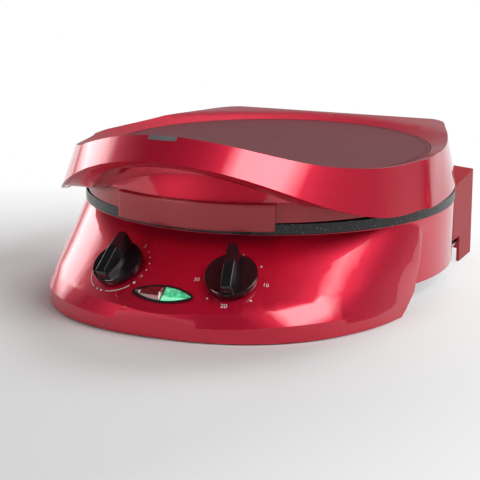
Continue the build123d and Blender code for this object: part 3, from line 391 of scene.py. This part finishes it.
def turn_profile(points, steps, centre):
    """Bmesh of a closed (radius, height) profile spun once about an upright axis."""
    bm = bmesh.new()
    corners = [bm.verts.new((centre.x + radius, centre.y, height)) for radius, height in points]
    loop = [bm.edges.new((corners[i], corners[(i + 1) % len(corners)])) for i in range(len(corners))]
    bmesh.ops.spin(bm, geom=corners + loop, cent=centre, axis=(0, 0, 1), angle=2 * pi, steps=steps,
                   use_merge=True, use_duplicate=False)
    bmesh.ops.remove_doubles(bm, verts=bm.verts, dist=1e-6)
    bmesh.ops.recalc_face_normals(bm, faces=bm.faces)
    return bm


def round_plan(node):
    """Centre, on the floor, and radius of a round node."""
    low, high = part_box(node)
    return Vector(((low.x + high.x) / 2, (low.y + high.y) / 2, 0.0)), (high.x - low.x) / 2


def paint_node(node, finish):
    """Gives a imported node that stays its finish."""
    for place in NODES[node].material_slots:
        place.material = Finish.made[finish]


def knob_frame(joint):
    """Matrix whose z leaves the panel along a knob's axis and whose y goes up the panel."""
    spin = JOINTS[joint]
    outward = -Vector(spin["axis"]).normalized()
    across = Vector((-outward.y, outward.x, 0.0)).normalized()
    upslope = outward.cross(across)
    turn = Matrix((across, upslope, outward)).transposed().to_4x4()
    return Matrix.Translation(Vector(spin["pos_m"])) @ turn


# ------------------------------------------------------------------ settings
class PaintSettings(bpy.types.PropertyGroup):
    """Colours and gloss of the painted shells."""
    red: FloatVectorProperty(name="Red", description="Ground colour of the paint", subtype="COLOR",
                             default=(0.66, 0.0006, 0.034))
    flake: FloatVectorProperty(name="Flake", description="Colour of the metal flakes", subtype="COLOR",
                               default=(1.0, 0.02, 0.10))
    satin: FloatVectorProperty(name="Satin red", description="Colour of the collar and guard",
                               subtype="COLOR", default=(0.42, 0.026, 0.032))
    top: FloatVectorProperty(name="Top panel", description="Colour of the flat panel in the lid",
                             subtype="COLOR", default=(0.20, 0.020, 0.034))
    metal: FloatProperty(name="Metal", description="How metallic the ground coat is", default=0.55,
                         min=0.0, max=1.0)
    roughness: FloatProperty(name="Roughness", description="Spread of the metallic glow", default=0.42,
                             min=0.0, max=1.0)
    coat_roughness: FloatProperty(name="Coat roughness", description="Softness of the clear coat",
                                  default=0.035, min=0.0, max=1.0)
    flake_scale: FloatProperty(name="Flake scale", description="Flakes per metre", default=1900.0)
    flake_strength: FloatProperty(name="Flake strength", description="Contrast of the flakes",
                                  default=0.35, min=0.0, max=1.0)
    edge: FloatProperty(name="Edge", description="Rounding of the shells' edges", default=0.0007,
                        unit="LENGTH")


class PanSettings(bpy.types.PropertyGroup):
    """The coated pan."""
    speck_scale: FloatProperty(name="Speck scale", description="Specks per metre", default=420.0)
    rim_edge: FloatProperty(name="Rim edge", description="Rounding of the rim", default=0.0022,
                            unit="LENGTH")


class KnobSettings(bpy.types.PropertyGroup):
    """The two control knobs."""
    radius: FloatProperty(name="Radius", description="Radius of the skirt", default=0.0207, unit="LENGTH")
    skirt: FloatProperty(name="Skirt", description="Height of the skirt", default=0.006, unit="LENGTH")
    grip: FloatProperty(name="Grip", description="Height of the grip over the skirt", default=0.013,
                        unit="LENGTH")
    crown: FloatProperty(name="Crown", description="Width of the grip's crown", default=0.0080,
                         unit="LENGTH")
    belly: FloatProperty(name="Belly", description="Width of the grip where it meets the skirt",
                         default=0.0165, unit="LENGTH")
    stand_off: FloatProperty(name="Stand-off", description="Gap between the panel and the knob",
                             default=0.0012, unit="LENGTH")


class DialSettings(bpy.types.PropertyGroup):
    """Printed marks round the knobs."""
    ring: FloatProperty(name="Ring", description="Radius of the marks' circle", default=0.0255,
                        unit="LENGTH")
    dot: FloatProperty(name="Dot", description="Radius of a dot", default=0.0007, unit="LENGTH")
    digit: FloatProperty(name="Digit", description="Height of the numbers", default=0.0042, unit="LENGTH")
    lift: FloatProperty(name="Lift", description="Height of the ink over the panel", default=0.00012,
                        unit="LENGTH")


class StageSettings(bpy.types.PropertyGroup):
    """Floor, lamps and camera."""
    floor: FloatVectorProperty(name="Floor", description="Colour of the floor", subtype="COLOR",
                               default=(0.86, 0.86, 0.86))
    left_power: FloatProperty(name="Left window", description="Power of the left soft box",
                              default=11.5, unit="POWER")
    right_power: FloatProperty(name="Right window", description="Power of the right soft box",
                               default=25.0, unit="POWER")
    front_power: FloatProperty(name="Front window", description="Power of the low front soft box",
                               default=5.0, unit="POWER")
    back_power: FloatProperty(name="Back light", description="Power of the high back light",
                              default=20.0, unit="POWER")
    focal: FloatProperty(name="Focal length", description="Focal length of the camera",
                         default=112.55, unit="CAMERA")
    floor_reach: FloatProperty(name="Floor reach", description="Radius of the floor", default=9.0,
                               unit="LENGTH")


class PieMakerSettings(bpy.types.PropertyGroup):
    """All settings."""
    paint: PointerProperty(type=PaintSettings)
    pan: PointerProperty(type=PanSettings)
    knob: PointerProperty(type=KnobSettings)
    dial: PointerProperty(type=DialSettings)
    stage: PointerProperty(type=StageSettings)


# ------------------------------------------------------------------ operators
class PIEMAKER_OT_finishes(bpy.types.Operator):
    """Make every finish"""
    bl_idname = "piemaker.finishes"
    bl_label = "Finishes"

    def execute(self, context):
        make_finishes(context.scene.pie_maker)
        return {"FINISHED"}


class PIEMAKER_OT_shells(bpy.types.Operator):
    """Painted shells of the base and the lid"""
    bl_idname = "piemaker.shells"
    bl_label = "Painted shells"

    def execute(self, context):
        edge = context.scene.pie_maker.paint.edge
        softened("base_housing", "body_shell", "base", "red_paint", edge)
        softened("lid_shell", "lid_cover", "lid", "red_paint", edge)
        softened("handle_scoop", "finger_scoop", "lid", "red_paint", edge / 2)
        softened("lid_collar", "lid_skirt_ring", "lid", "satin_red", edge)
        softened("front_guard", "heat_guard", "lid", "satin_red", edge)
        softened("visor_insert", "crest_insert", "lid", "grey_plastic", edge / 3)
        return {"FINISHED"}


class PIEMAKER_OT_top_panel(bpy.types.Operator):
    """Flat round panel in the lid's dish"""
    bl_idname = "piemaker.top_panel"
    bl_label = "Top panel"

    def execute(self, context):
        bottom, top = (corner.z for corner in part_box("lid_top_panel"))
        centre, radius = round_plan("lid_top_panel")
        step = 0.6 * MM     # rounding of the rim, depth of the groove and slant of its sides
        corner = 0.2 * MM
        groove = radius - 4.0 * MM
        profile = [(0.0, bottom), (radius, bottom), (radius, top - step),
                   (radius - corner, top - corner), (radius - step, top),
                   (groove + 2 * step, top), (groove + step, top - step),
                   (groove, top - step), (groove - step, top), (0.0, top)]
        bm = turn_profile(profile, 160, centre)
        finish_piece(bm, "dish_panel", "lid", "top_panel_red", ("lid_top_panel",), 40.0)
        return {"FINISHED"}


class PIEMAKER_OT_pan(bpy.types.Operator):
    """Coated pan with its rolled rim"""
    bl_idname = "piemaker.pan"
    bl_label = "Pan"

    def execute(self, context):
        rounding = context.scene.pie_maker.pan.rim_edge
        bm = merged_copy("pan")
        centre, rim = round_plan("pan")

        def on_rim(edge):
            middle = (edge.verts[0].co + edge.verts[1].co) / 2
            out = (Vector((middle.x, middle.y, 0.0)) - centre).length
            return out > rim - 0.2 * MM
        round_edges(bm, rounding * 0.45, 20.0, 3, on_rim)
        finish_piece(bm, "coated_pan", "base", "speckled_coating", ("pan",), 35.0)
        return {"FINISHED"}


def knob_skirt(knob):
    """Round foot of a knob, with a raised edge round its top."""
    edge = 1.6 * MM
    sink = 0.5 * MM
    inner_area = 0.0005     # the disc inside the edge is larger than this, the edge's own faces aren't
    bm = bmesh.new()
    bmesh.ops.create_cone(bm, cap_ends=True, segments=96, radius1=knob.radius, radius2=knob.radius,
                          depth=knob.skirt,
                          matrix=Matrix.Translation((0, 0, knob.stand_off + knob.skirt / 2)))
    top = [face for face in bm.faces if face.normal.z > 0.9]
    bmesh.ops.inset_region(bm, faces=top, thickness=edge, depth=0.0)
    disc = [face for face in bm.faces if face.normal.z > 0.9 and face.calc_area() > inner_area]
    bmesh.ops.translate(bm, vec=(0, 0, -sink), verts=list({v for face in disc for v in face.verts}))
    round_edges(bm, 0.9 * MM, 40.0, 3)
    return bm


def knob_fin(knob):
    """Fin across the skirt: flat crown, bellied flanks, a rounded tip and a tail that falls away.

    It is a square grid, from -1 to 1 along the fin and across it, bent to that shape.
    """
    sunk = 1.6 * MM         # how deep the flanks' feet stand in the skirt
    end_share = 0.66        # width of the fin's ends, as a share of its belly
    crown_share = 0.5       # part of the grid's width that makes the crown; the rest makes the flanks
    round_from = 0.7        # where along the fin the tip's rounding starts, and how strong it is
    round_strength = 0.35
    fall_from = 0.15        # where along the fin the crown starts to fall, and how steeply
    fall_rate = 3.4 * MM
    root = knob.stand_off + knob.skirt - sunk
    crown = knob.stand_off + knob.skirt + knob.grip
    tip = knob.radius - 1.0 * MM
    fin = bmesh.new()
    bmesh.ops.create_grid(fin, x_segments=8, y_segments=18, size=1.0)
    for vert in fin.verts:
        along, across = vert.co.y, vert.co.x
        flank = knob.belly / 2 * (end_share + (1 - end_share) * cos(along * pi / 2))
        beyond = max(0.0, along - round_from) / (1 - round_from)
        fall = max(0.0, fall_from - along) * fall_rate
        side = -1 if across < 0 else 1
        flat = min(abs(across) / crown_share, 1.0)
        slope = max(0.0, abs(across) - crown_share) / (1 - crown_share)
        reach = flat * knob.crown / 2 + slope * (flank - knob.crown / 2)
        vert.co.x = side * reach * sqrt(1 - round_strength * beyond ** 2)
        vert.co.z = root + (crown - root - fall) * (1 - slope)
        vert.co.y = along * tip
    walls = bmesh.ops.extrude_edge_only(fin, edges=[edge for edge in fin.edges if edge.is_boundary])
    for vert in walls["geom"]:
        if isinstance(vert, bmesh.types.BMVert):
            vert.co.z = root - 0.5 * MM
    bmesh.ops.contextual_create(fin, geom=[edge for edge in fin.edges if edge.is_boundary])
    bmesh.ops.remove_doubles(fin, verts=fin.verts, dist=5e-5)
    bmesh.ops.recalc_face_normals(fin, faces=fin.faces)
    round_edges(fin, 0.55 * MM, 38.0, 2)
    return fin


def knob_mesh(knob):
    """One knob standing on its own z axis."""
    bm = knob_skirt(knob)
    fin = knob_fin(knob)
    fin_mesh = bpy.data.meshes.new("fin")
    fin.to_mesh(fin_mesh)
    fin.free()
    bm.from_mesh(fin_mesh)
    bpy.data.meshes.remove(fin_mesh)
    return bm


class PIEMAKER_OT_knobs(bpy.types.Operator):
    """Thermostat and timer knobs"""
    bl_idname = "piemaker.knobs"
    bl_label = "Knobs"

    def execute(self, context):
        for body in ("thermostat", "timer"):
            bm = knob_mesh(context.scene.pie_maker.knob)
            bm.transform(knob_frame(f"{body}_turn"))
            finish_piece(bm, f"{body}_grip", body, "knob_black", (f"{body}_knob",), 38.0)
            paint_node(f"{body}_shaft", "shaft_steel")
        return {"FINISHED"}


def panel_normal():
    """Direction out of the panel's middle."""
    left, right = (-Vector(JOINTS[f"{body}_turn"]["axis"]) for body in ("thermostat", "timer"))
    return (left + right).normalized()


def raise_ridge(bm, outward, rise):
    """Turns the flat top of a lens into a hipped one with a ridge along its length."""
    kept_length = 0.9
    kept_width = 0.12
    tops = [face for face in bm.faces if face.normal.dot(outward) > 0.98]
    height = max(face.calc_center_median().dot(outward) for face in tops)
    tops = [face for face in tops if face.calc_center_median().dot(outward) > height - 0.2 * MM]
    bmesh.ops.dissolve_faces(bm, faces=tops)
    lid = max((face for face in bm.faces if face.normal.dot(outward) > 0.98),
              key=lambda face: face.calc_center_median().dot(outward))
    centre = lid.calc_center_median()
    upslope = outward.cross(Vector((1, 0, 0))).normalized()
    bmesh.ops.inset_region(bm, faces=[lid], thickness=0.25 * MM, depth=0.0)
    for vert in lid.verts:
        offset = vert.co - centre
        width = upslope * offset.dot(upslope)
        vert.co = centre + (offset - width) * kept_length + width * kept_width + outward * rise


class PIEMAKER_OT_indicator(bpy.types.Operator):
    """Indicator window with its two lenses"""
    bl_idname = "piemaker.indicator"
    bl_label = "Indicator"

    def execute(self, context):
        softened("indicator_frame", "lamp_bezel", "base", "bezel_black", 0.25 * MM)
        outward = panel_normal()
        for shade in ("red", "green"):
            bm = merged_copy(f"{shade}_lens")
            raise_ridge(bm, outward, 1.3 * MM)
            finish_piece(bm, f"{shade}_window", "base", f"{shade}_lens",
                         (f"{shade}_lens",), 12.0)
        return {"FINISHED"}


def on_panel(bm, frame_matrix, lift):
    """Drops a flat bmesh, drawn round a knob's axis, onto the panel along that axis."""
    start = 0.03        # how far over the panel each ray starts
    shell = merged_copy("base_housing")
    tree = BVHTree.FromBMesh(shell)
    outward = frame_matrix.to_3x3() @ Vector((0, 0, 1))
    bm.transform(frame_matrix)
    for vert in bm.verts:
        place, normal, _, _ = tree.ray_cast(vert.co + outward * start, -outward)
        if place is None:
            raise RuntimeError("a printed mark falls off the panel")
        vert.co = place + normal * lift
    shell.free()


def dot(bm, x, y, radius):
    """Round dot."""
    bmesh.ops.create_circle(bm, cap_ends=True, segments=16, radius=radius,
                            matrix=Matrix.Translation((x, y, 0)))


def at(hour, ring):
    """Place on a ring, as the hours of a clock."""
    turn = radians(hour * 30)
    return ring * sin(turn), ring * cos(turn)


def arc(bm, ring, first, last, width):
    """Curved line between two hours."""
    steps = 28
    start = Vector((*at(first, ring - width / 2), 0))
    end = Vector((*at(first, ring + width / 2), 0))
    ends = [bm.verts.new(start), bm.verts.new(end)]
    line = bm.edges.new(ends)
    bmesh.ops.spin(bm, geom=ends + [line], cent=(0, 0, 0), axis=(0, 0, -1),
                   angle=radians((last - first) * 30), steps=steps, use_merge=False, use_duplicate=False)


def number(bm, text, x, y, height):
    """Upright number centred on a point."""
    size_for_height = 1.35
    curve = bpy.data.curves.new("number", "FONT")
    curve.body = text
    curve.size = height * size_for_height
    curve.align_x = "CENTER"
    curve.align_y = "CENTER"
    holder = bpy.data.objects.new("number", curve)
    mesh = bpy.data.meshes.new_from_object(holder)
    mesh.transform(Matrix.Translation((x, y, 0)))
    bm.from_mesh(mesh)
    bpy.data.objects.remove(holder)
    bpy.data.curves.remove(curve)
    bpy.data.meshes.remove(mesh)


class PIEMAKER_OT_dials(bpy.types.Operator):
    """Printed dial marks round both knobs"""
    bl_idname = "piemaker.dials"
    bl_label = "Dial marks"

    def execute(self, context):
        dial = context.scene.pie_maker.dial
        ring = dial.ring
        line = 0.7 * MM
        heat = bmesh.new()
        number(heat, "2", *at(0.75, ring + 0.6 * MM), dial.digit * 0.8)
        for hour in (1.35, 1.85, 2.35, 2.85, 3.35):
            dot(heat, *at(hour, ring), dial.dot)
        dot(heat, *at(3.95, ring), dial.dot * 1.7)
        arc(heat, ring, 4.25, 5.85, line)
        for hour in (6.2, 6.55):
            dot(heat, *at(hour, ring), dial.dot * 1.3)
        arc(heat, ring, 6.9, 8.65, line)
        dot(heat, *at(8.95, ring), dial.dot * 1.2)
        time = bmesh.new()
        dot(time, *at(0.35, ring), dial.dot * 1.3)
        for hour in (1.75, 4.55, 7.3):
            dot(time, *at(hour, ring), dial.dot * 1.2)
        number(time, "10", *at(3.12, ring + 0.8 * MM), dial.digit * 0.85)
        number(time, "20", *at(6.15, ring + 0.8 * MM), dial.digit * 0.95)
        number(time, "30", *at(8.9, ring + 2.2 * MM), dial.digit * 0.85)
        for bm, joint, name in ((heat, "thermostat_turn", "heat_marks"),
                                (time, "timer_turn", "time_marks")):
            on_panel(bm, knob_frame(joint), dial.lift)
            finish_piece(bm, name, "base", "print_ink")
        return {"FINISHED"}


class PIEMAKER_OT_underside(bpy.types.Operator):
    """Base plate, feet, screws and cord inlet"""
    bl_idname = "piemaker.underside"
    bl_label = "Underside"

    def execute(self, context):
        softened("rubber_feet", "table_feet", "base", "foot_rubber", 0.6 * MM)
        softened("cord_bushing", "cord_inlet", "base", "black_plastic", 0.5 * MM)
        paint_node("base_plate", "zinc_steel")
        for node in ("base_screws", "pan_nuts", "thermostat_nut", "timer_nut", "lid_screws", "arm_screws"):
            paint_node(node, "screw_steel")
        return {"FINISHED"}


class PIEMAKER_OT_heating(bpy.types.Operator):
    """Elements, heat shields and electrical pieces"""
    bl_idname = "piemaker.heating"
    bl_label = "Heating and wiring pieces"

    def execute(self, context):
        for node in ("lower_heat_shield", "upper_heat_shield", "lower_element_clips",
                     "upper_element_clips", "fuse_clip"):
            paint_node(node, "shield_steel")
        for node in ("lower_element", "upper_element"):
            paint_node(node, "element_sheath")
        for node in ("lower_element_seals", "terminal_block"):
            paint_node(node, "ceramic")
        for node in ("thermostat_body", "timer_body"):
            paint_node(node, "zinc_steel")
        paint_node("thermal_fuse", "brass_parts")
        paint_node("lamp_holder", "black_plastic")
        paint_node("neon_lamps", "lamp_glass")
        return {"FINISHED"}


class PIEMAKER_OT_hinge(bpy.types.Operator):
    """Hinge blocks, arms and pins"""
    bl_idname = "piemaker.hinge"
    bl_label = "Hinge"

    def execute(self, context):
        for side in ("left", "right"):
            softened(f"hinge_block_{side}", f"pin_block_{side}", "base", "hinge_black",
                     0.5 * MM)
            softened(f"hinge_arm_{side}", f"lid_arm_{side}", "lid", "hinge_steel", 0.35 * MM)
            softened(f"hinge_pin_{side}", f"pivot_{side}", "base", "shaft_steel", 0.3 * MM)
        return {"FINISHED"}


def soft_box(label, azimuth, elevation, distance, size, power, aim, softness):
    """Rectangular lamp in a direction from the aim point, facing it and fading towards its edges."""
    turn, lift = radians(azimuth), radians(elevation)
    out = Vector((sin(turn) * cos(lift), -cos(turn) * cos(lift), sin(lift)))
    lamp = bpy.data.lights.new(label, "AREA")
    lamp.shape = "RECTANGLE"
    lamp.size, lamp.size_y = size
    lamp.energy = power
    lamp.use_nodes = True
    g = Graph(lamp.node_tree)
    place = g.add("ShaderNodeNewGeometry", output="Parametric")
    glow = 1.0
    for name in "XY":
        from_middle = g.axis(place, name) * 2 - 1
        to_edge = 1 - from_middle.maths("ABSOLUTE", from_middle)
        glow = g.range(to_edge, 0.0, softness) * glow
    g.tree.links.new(glow.socket, g.tree.nodes["Emission"].inputs["Strength"])
    holder = bpy.data.objects.new(label, lamp)
    holder.location = aim + out * distance
    holder.rotation_mode = "QUATERNION"
    holder.rotation_quaternion = out.to_track_quat("Z", "Y")
    bpy.context.scene.collection.objects.link(holder)


class PIEMAKER_OT_stage(bpy.types.Operator):
    """Floor, lamps, world and camera"""
    bl_idname = "piemaker.stage"
    bl_label = "Stage"

    def execute(self, context):
        scene = context.scene
        stage = scene.pie_maker.stage
        scene.view_settings.view_transform = "Standard"
        self.floor(stage)
        self.world(scene)
        aim = Vector((0.0, 0.0, 0.08))
        # azimuth, elevation, distance, size, power, aim point, share of the half width that fades
        soft_box("left_window", -110, 17, 1.6, (1.15, 0.85), stage.left_power, aim, 0.5)
        soft_box("right_window", 74, 44, 1.6, (1.2, 0.85), stage.right_power, aim, 0.45)
        soft_box("front_window", -32, 13, 1.6, (0.62, 0.5), stage.front_power, aim, 0.12)
        soft_box("back_light", 176, 60, 1.8, (1.0, 1.0), stage.back_power, aim, 0.5)
        right = Vector(CAMERA_RIGHT).normalized()
        back = Vector(CAMERA_BACK).normalized()
        turned = Matrix((right, back.cross(right), back)).transposed().to_4x4()
        lens = bpy.data.cameras.new("camera")
        lens.lens = stage.focal
        lens.sensor_width = 36.0
        lens.clip_start = 0.01
        camera = bpy.data.objects.new("camera", lens)
        camera.matrix_world = Matrix.Translation(CAMERA_PLACE) @ turned
        scene.collection.objects.link(camera)
        scene.camera = camera
        return {"FINISHED"}

    def floor(self, stage):
        """Pale floor: lit near the object, plain white far away."""
        bm = bmesh.new()
        bmesh.ops.create_circle(bm, cap_ends=True, segments=64, radius=stage.floor_reach)
        bmesh.ops.recalc_face_normals(bm, faces=bm.faces)
        mesh = bpy.data.meshes.new("floor")
        bm.to_mesh(mesh)
        bm.free()
        floor = bpy.data.objects.new("floor", mesh)
        bpy.context.scene.collection.objects.link(floor)
        finish = Finish("floor_card", Roughness=1.0)
        finish.set("Specular IOR Level", 0.0)
        g = finish.graph
        dust = g.noise(3.0, 2.0)
        finish.set("Base Color", g.blend(dust, colour(stage.floor),
                                         colour([c * 0.985 for c in stage.floor])))
        apart = g.add("ShaderNodeVectorMath", {"operation": "DISTANCE"},
                      {0: g.place(), 1: LIT_MIDDLE}, "Value")
        paths = g.tree.nodes.new("ShaderNodeLightPath")
        seen = 0.0
        for kind in ("Camera", "Glossy", "Transmission"):
            seen = Value(g.tree, paths.outputs[f"Is {kind} Ray"]) + seen
        away = g.range(apart, *LIT_REACH)
        white = g.add("ShaderNodeEmission", None, {"Color": (1, 1, 1, 1), "Strength": 1.0})
        lit = Value(g.tree, finish.shader.outputs[0])
        shown = g.add("ShaderNodeMixShader", None, {0: g.range(seen, 0.0, 1.0) * away, 1: lit, 2: white})
        g.tree.links.new(shown.socket, g.tree.nodes["Material Output"].inputs["Surface"])
        mesh.materials.append(finish.material)

    def world(self, scene):
        """Grey room, brighter low down behind the object."""
        world = bpy.data.worlds.new("room")
        world.use_nodes = True
        scene.world = world
        g = Graph(world.node_tree)
        look = g.add("ShaderNodeTexCoord", output="Generated")
        rear = g.range(g.axis(look, "Y"), -0.25, 0.75)
        low = g.range(g.axis(look, "Z"), 0.75, 0.1)
        shade = g.blend(rear * low, (0.06, 0.06, 0.06, 1), (0.30, 0.30, 0.30, 1))
        g.tree.links.new(shade.socket, g.tree.nodes["Background"].inputs["Color"])


class PIEMAKER_PT_panel(bpy.types.Panel):
    """Settings and steps in the sidebar"""
    bl_label = "Pie Maker"
    bl_space_type = "VIEW_3D"
    bl_region_type = "UI"
    bl_category = "Pie Maker"

    def draw(self, context):
        """Every setting, then every step."""
        settings = context.scene.pie_maker
        for group in (settings.paint, settings.pan, settings.knob, settings.dial, settings.stage):
            box = self.layout.box()
            for name in group.bl_rna.properties.keys():
                if name not in ("name", "rna_type"):
                    box.prop(group, name)
        for step in STEPS:
            self.layout.operator(step.bl_idname)


SETTINGS = (PaintSettings, PanSettings, KnobSettings, DialSettings, StageSettings, PieMakerSettings)
STEPS = (PIEMAKER_OT_finishes, PIEMAKER_OT_shells, PIEMAKER_OT_top_panel, PIEMAKER_OT_pan,
         PIEMAKER_OT_knobs, PIEMAKER_OT_indicator, PIEMAKER_OT_dials, PIEMAKER_OT_underside,
         PIEMAKER_OT_heating, PIEMAKER_OT_hinge, PIEMAKER_OT_stage)


def register():
    """Adds the settings, the steps and the panel to Blender."""
    for kind in SETTINGS + STEPS + (PIEMAKER_PT_panel,):
        bpy.utils.register_class(kind)
    bpy.types.Scene.pie_maker = PointerProperty(type=PieMakerSettings)


def unregister():
    """Takes them out again."""
    del bpy.types.Scene.pie_maker
    for kind in reversed(SETTINGS + STEPS + (PIEMAKER_PT_panel,)):
        bpy.utils.unregister_class(kind)


def main():
    """Makes every piece in order."""
    register()
    for step in STEPS:
        group, name = step.bl_idname.split(".")
        getattr(getattr(bpy.ops, group), name)()


if __name__ == "__main__":
    main()
